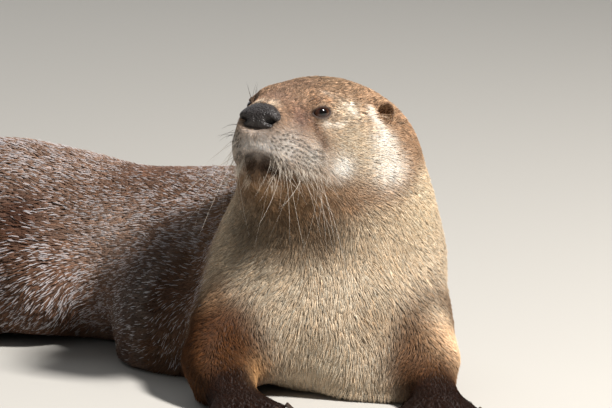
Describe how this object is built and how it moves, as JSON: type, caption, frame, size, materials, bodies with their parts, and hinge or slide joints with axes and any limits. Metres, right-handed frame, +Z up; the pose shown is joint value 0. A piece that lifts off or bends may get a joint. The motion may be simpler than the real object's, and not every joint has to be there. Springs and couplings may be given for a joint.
{
  "type": "otter",
  "caption": "North American river otter lying on its belly, forequarters raised, head turned to its right and lifted, tail curved behind it on the ground.",
  "frame": {"origin": "middle of the animal's bounding box, on the ground that it lies on", "axes": "+Z up; the chest faces -Y; +X is the animal's left at the chest; the tail runs out towards -X"},
  "size_m": [0.8656, 0.5206, 0.2298],
  "materials": {
    "back_fur": "short dense brown fur, slightly glossy guard hairs",
    "throat_fur": "short pale buff and brown fur of the head, throat and chest",
    "leg_fur": "short dark brown fur",
    "paw_fur": "very short blackish brown fur over webbed toes",
    "nose_skin": "bare pebbled greyish black skin, damp",
    "eye": "dark brown, wet and glossy",
    "claw": "dull brown horn"
  },
  "bodies": {
    "root": {"head": "throat_fur", "neck": "throat_fur", "chest": "throat_fur", "belly": "back_fur", "rump": "back_fur", "tail_base": "back_fur", "tail_middle": "back_fur", "tail_tip": "back_fur", "ear_left": "back_fur", "ear_right": "back_fur", "eye_left": "eye", "eye_right": "eye", "nose": "nose_skin", "foreleg_left": "leg_fur", "foreleg_right": "leg_fur", "hindleg_left": "leg_fur", "hindleg_right": "leg_fur", "forepaw_left": "paw_fur", "forepaw_right": "paw_fur", "hindfoot_left": "paw_fur", "hindfoot_right": "paw_fur", "forepaw_right_claw_1": "claw", "forepaw_right_claw_2": "claw", "forepaw_right_claw_3": "claw", "forepaw_right_claw_4": "claw", "forepaw_right_claw_5": "claw", "forepaw_left_claw_1": "claw", "forepaw_left_claw_2": "claw", "forepaw_left_claw_3": "claw", "forepaw_left_claw_4": "claw", "forepaw_left_claw_5": "claw", "hindfoot_right_claw_1": "claw", "hindfoot_right_claw_2": "claw", "hindfoot_right_claw_3": "claw", "hindfoot_right_claw_4": "claw", "hindfoot_right_claw_5": "claw", "hindfoot_left_claw_1": "claw", "hindfoot_left_claw_2": "claw", "hindfoot_left_claw_3": "claw", "hindfoot_left_claw_4": "claw", "hindfoot_left_claw_5": "claw"}
  },
  "joints": []
}
